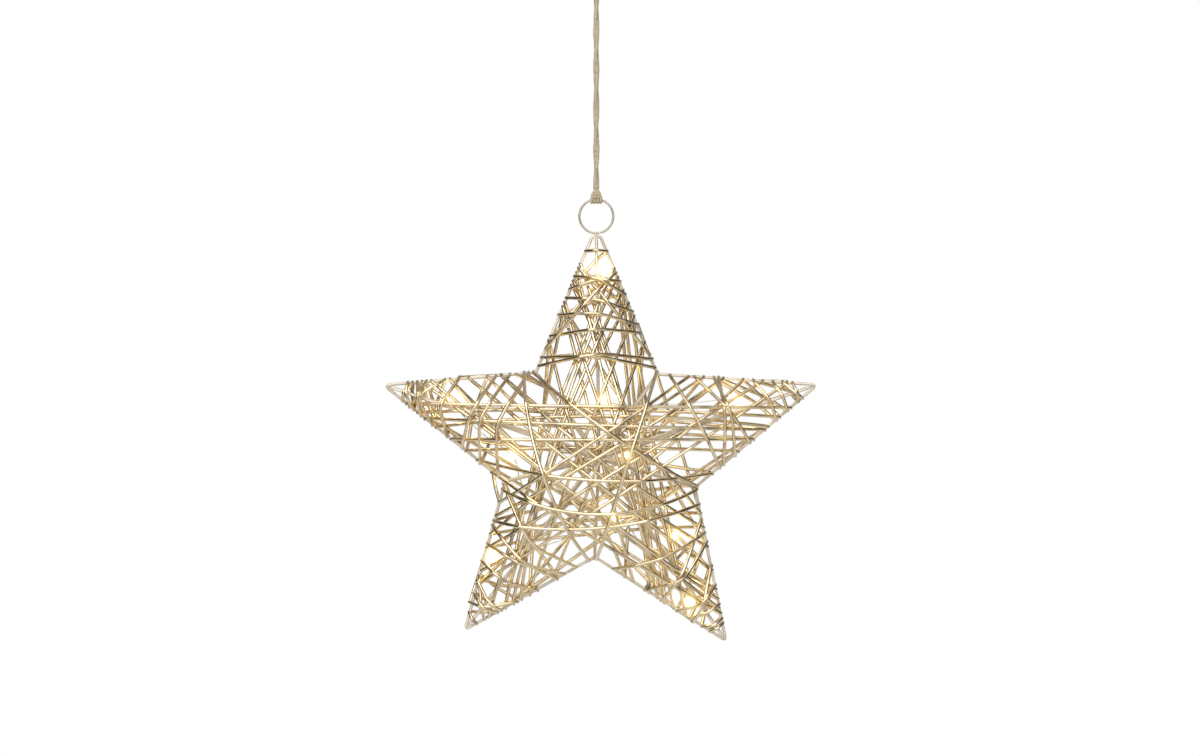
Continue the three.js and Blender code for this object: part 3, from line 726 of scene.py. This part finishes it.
# Light string: two fine lacquered wires, loosely twisted, through the star's hollow from lamp to
# lamp. Each lamp is a chip on the wires in a drop of clear resin.
silver, start, feed = material("lacquered_silver", Metallic=1.0)
place = start.node("ShaderNodeTexCoord", {}, {}, 3)
cloud = place.noise(220.0)
feed(
    Base_Color=cloud.ramp(0.3, 0.7).blend((0.56, 0.54, 0.5), (0.8, 0.79, 0.75)),
    Roughness=cloud.ramp(0.3, 0.7, 0.2, 0.35),
)
LIGHTS = STAR_REACH * np.array([
    (0.006, 0.84), (0.018, 0.26), (0.62, 0.253), (0.13, 0.006), (0.34, -0.35), (0.41, -0.64),
    (0.07, -0.27), (-0.48, -0.44), (-0.39, 0.006), (-0.675, 0.255),
])
STRING_BEND = STAR_REACH * np.array([-0.33, -0.2])  # after the eighth, clear of the inner corner
STRING_RADIUS = 0.00024
way = np.insert(LIGHTS, 8, STRING_BEND, axis=0)
between = (way[1:] + way[:-1]) / 2 + chance.normal(0, 0.003, (10, 2))
string_flat = np.insert(between, np.arange(11).clip(0, 10), way, axis=0)
string_depth = np.where(np.arange(21) % 2 == 0, -0.001, -0.004)
string_line = through(placed(string_flat, string_depth), 0.0012)
run = np.linspace(0, 1, len(string_line)) * len(string_line) * 0.0012
swing = np.stack([np.cos(run / 0.0022), np.sin(run / 0.0022), 0 * run], axis=1) * 0.0003
string_tubes = [tube(string_line + sign * swing, STRING_RADIUS, 6) for sign in (1, -1)]
build("light_string", string_tubes, silver, "light_wire", "light_string_wire")

resin, start, feed = material(
    "clear_resin", Roughness=0.05, IOR=1.5, Alpha=0.6, Emission_Color=(1.0, 0.8, 0.24),
    Emission_Strength=2.6,
)
place = start.node("ShaderNodeTexCoord", {}, {}, 3)
bubbles = place.noise(900.0)
feed(Base_Color=bubbles.ramp(0.3, 0.7).blend((1.0, 0.9, 0.62), (1.0, 0.96, 0.8)))
chip, start, feed = material("lit_chip", Roughness=0.4, Emission_Strength=60.0)
place = start.node("ShaderNodeTexCoord", {}, {}, 3)
glow = place.noise(1200.0)
feed(
    Base_Color=glow.ramp(0.3, 0.7).blend((1.0, 0.75, 0.35), (1.0, 0.85, 0.5)),
    Emission_Color=glow.ramp(0.3, 0.7).blend((1.0, 0.72, 0.3), (1.0, 0.8, 0.4)),
)
LAMP_POWER = 0.006
for k, light in enumerate(LIGHTS):
    spot = placed(light, 0)
    build(f"lamp_resin_{k + 1}", [blob(spot, (0.0021, 0.0019, 0.0025), 16)], resin, "light_bead",
          f"light_bead_{k + 1}")
    build(f"lamp_chip_{k + 1}", [blob(spot, (0.0013, 0.0011, 0.0015), 10)], chip, "light_bead")
    lamp = bpy.data.objects.new(f"lamp_{k + 1}", bpy.data.lights.new(f"lamp_{k + 1}", "POINT"))
    scene.collection.objects.link(lamp)
    lamp.location = spot
    lamp.data.energy = LAMP_POWER
    lamp.data.color = (1.0, 0.9, 0.55)
    lamp.data.shadow_soft_size = 0.012

# Room: white all round, as the camera sees it. What shines in the wires is a photographer's
# set-up: one large soft light in front, above and to the left, three small ones, and dark sides,
# which give each wire its brown edge. The pale floor is a metre below.
world = bpy.data.worlds.new("studio")
scene.world = world
world.use_nodes = True
tree = world.node_tree
tree.nodes.clear()
start = Value(tree)
way = start.node("ShaderNodeTexCoord")
sideways = start.node("ShaderNodeSeparateXYZ", {}, {0: way})
ahead = start.node("ShaderNodeSeparateXYZ", {}, {0: way}, 1)
up = start.node("ShaderNodeSeparateXYZ", {}, {0: way}, 2)


def lamp_at(direction, edge, inside, strength):
    """A soft lamp in a direction: a smooth step of the cosine of the angle away from it."""
    side, towards, high = np.array(direction) / np.linalg.norm(direction)
    cosine = sideways * float(side) + ahead * float(towards) + up * float(high)
    return cosine.ramp(edge, inside) * strength


box = up.ramp(0.08, 0.16) * (1 - up.ramp(0.93, 0.97)) * (0 - ahead).ramp(0.0, 0.08)
box = box * sideways.ramp(-0.8, -0.7) * (1 - sideways.ramp(0.35, 0.5))
left = lamp_at((-0.8, -0.55, 0.15), 0.96, 0.985, 0.9)
right = lamp_at((0.85, -0.5, 0.1), 0.97, 0.99, 0.8)
low = lamp_at((0.3, -0.9, -0.3), 0.93, 0.97, 0.5)
front = (0 - ahead).ramp(0.5, 0.8) * 0.2
middle = 1 - (sideways * sideways).ramp(0.2, 0.65) * 0.9
studio = box * 1.75 + left + right + low + front + middle * 0.39
seen = start.node("ShaderNodeLightPath")
strength = seen + (1 - seen) * studio
shine = start.node("ShaderNodeBackground", {}, {"Color": (1, 1, 1, 1), "Strength": strength})
start.node("ShaderNodeOutputWorld", {}, {"Surface": shine})

paint, start, feed = material("pale_floor", Roughness=0.8)
place = start.node("ShaderNodeTexCoord", {}, {}, 3)
feed(Base_Color=place.noise(6.0).ramp(0.3, 0.7).blend((0.78, 0.78, 0.77), (0.82, 0.82, 0.81)))
floor_mesh = bpy.data.meshes.new("floor")
floor_mesh.from_pydata([(-1.8, -1.8, -1), (1.8, -1.8, -1), (1.8, 1.8, -1), (-1.8, 1.8, -1)], [],
                       [(0, 1, 2, 3)])
floor_mesh.materials.append(paint)
floor = bpy.data.objects.new("floor", floor_mesh)
scene.collection.objects.link(floor)
floor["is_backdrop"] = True
scene.view_settings.view_transform = "Standard"

# Glow round the lamps, as a lens gives it.
scene.use_nodes = True
tree = scene.node_tree
tree.nodes.clear()
start = Value(tree)
picture = start.node("CompositorNodeRLayers")
glare = tree.nodes.new("CompositorNodeGlare")
glare.glare_type = "FOG_GLOW"
glare.quality = "HIGH"
glare.inputs["Threshold"].default_value = 3.0
glare.inputs["Strength"].default_value = 1.2
glare.inputs["Size"].default_value = 0.3
glare.inputs["Tint"].default_value = (1.0, 0.86, 0.38, 1.0)
tree.links.new(picture.socket, glare.inputs["Image"])
start.node("CompositorNodeComposite", {}, {"Image": Value(tree, glare.outputs[0])})

low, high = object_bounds()
